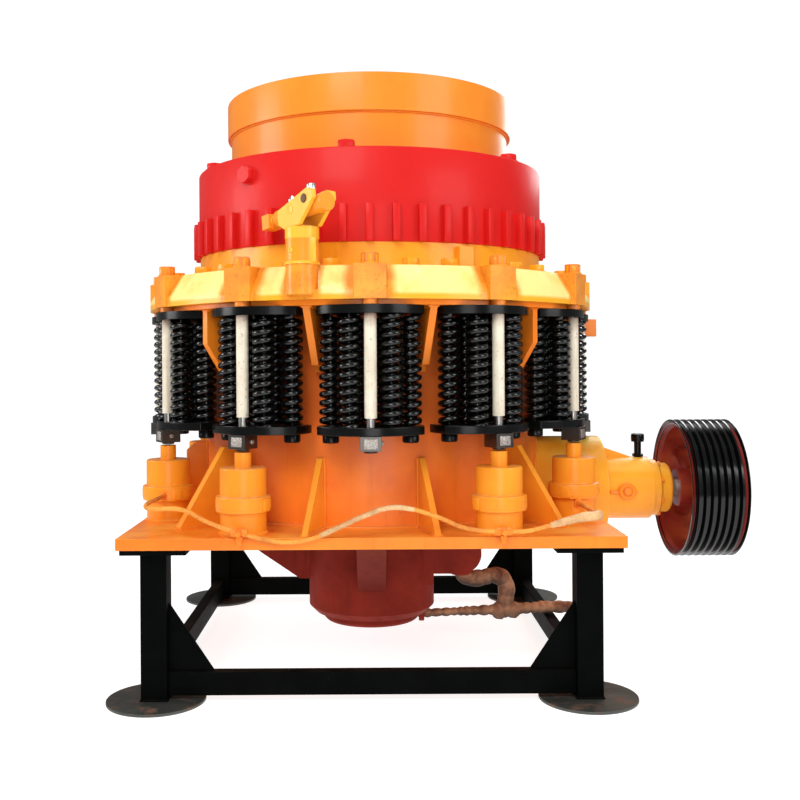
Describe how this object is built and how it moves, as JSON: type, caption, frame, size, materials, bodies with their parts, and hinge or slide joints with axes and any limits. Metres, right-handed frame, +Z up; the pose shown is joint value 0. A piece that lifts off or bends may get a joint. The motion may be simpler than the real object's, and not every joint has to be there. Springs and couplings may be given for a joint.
{
  "type": "cone crusher",
  "caption": "Spring cone crusher on a steel stand: sprung tie rods hold the ring on the frame, the capped bowl turns to set the gap, and a grooved pulley drives the countershaft.",
  "frame": {"origin": "on the crusher's vertical axis, at the floor under the feet", "axes": "+X towards the drive pulley along the countershaft, +Z up, so that -Y is the side the pulley is to the right of"},
  "size_m": [2.68, 2.177, 2.468],
  "materials": {
    "orange_paint": "gloss enamel, dusty, with drips",
    "yellow_paint": "gloss enamel",
    "red_paint": "gloss enamel",
    "brown_red_paint": "dull primer",
    "black_paint": "satin enamel",
    "bare_steel": "turned, lightly dulled",
    "dull_steel": "worn manganese steel",
    "bronze": "machined",
    "lagging": "wound tape, dirty"
  },
  "bodies": {
    "frame": {"base_plate": "orange_paint", "frame_shell": "orange_paint", "frame_flange": "orange_paint", "flange_ribs": "orange_paint", "base_gussets": "orange_paint", "drive_collar": "orange_paint", "countershaft_housing": "orange_paint", "housing_cap": "orange_paint", "jack_bodies": "orange_paint", "jack_stems": "orange_paint", "side_lug": "orange_paint", "hydraulic_line": "orange_paint", "hub_and_arms": "brown_red_paint", "hub_cover": "brown_red_paint", "legs": "black_paint", "leg_gussets": "black_paint", "leg_pads": "black_paint", "rails": "black_paint", "spring_top_plates": "black_paint", "coil_springs": "black_paint", "breather": "black_paint", "foot_discs": "bare_steel", "crusher_head": "dull_steel", "feed_plate": "dull_steel", "head_seat": "dull_steel", "shaft_bushes": "bronze", "oil_pipes": "lagging"},
    "ring": {"support_ring": "yellow_paint", "ring_bolts": "yellow_paint", "clamp_ring": "yellow_paint", "tie_rods": "bare_steel", "rod_nuts": "bare_steel", "spring_bottom_plates": "black_paint", "ram_posts": "yellow_paint", "ram_clevises": "yellow_paint", "ram_cylinders": "orange_paint"},
    "bowl": {"adjustment_cap": "red_paint", "cap_bolts": "red_paint", "hopper_drum": "orange_paint", "hopper_rim": "orange_paint", "bowl": "dull_steel", "bowl_liner": "dull_steel"},
    "countershaft": {"countershaft": "bare_steel", "pulley": "black_paint"}
  },
  "joints": [
    {"name": "ring_lift", "type": "slide", "parent": "frame", "child": "ring", "axis": [0, 0, 1], "range_m": [0, 0.04], "stiffness_N_per_m": 12000000, "springref_m": -0.04, "deforming": ["coil_springs"]},
    {"name": "bowl_turn", "type": "hinge", "parent": "ring", "child": "bowl", "pos_m": [0, 0, 1.9], "axis": [0, 0, 1], "range_deg": [-180, 180]},
    {"name": "countershaft_spin", "type": "hinge", "parent": "frame", "child": "countershaft", "pos_m": [1, 0, 0.705], "axis": [1, 0, 0], "continuous": true}
  ]
}
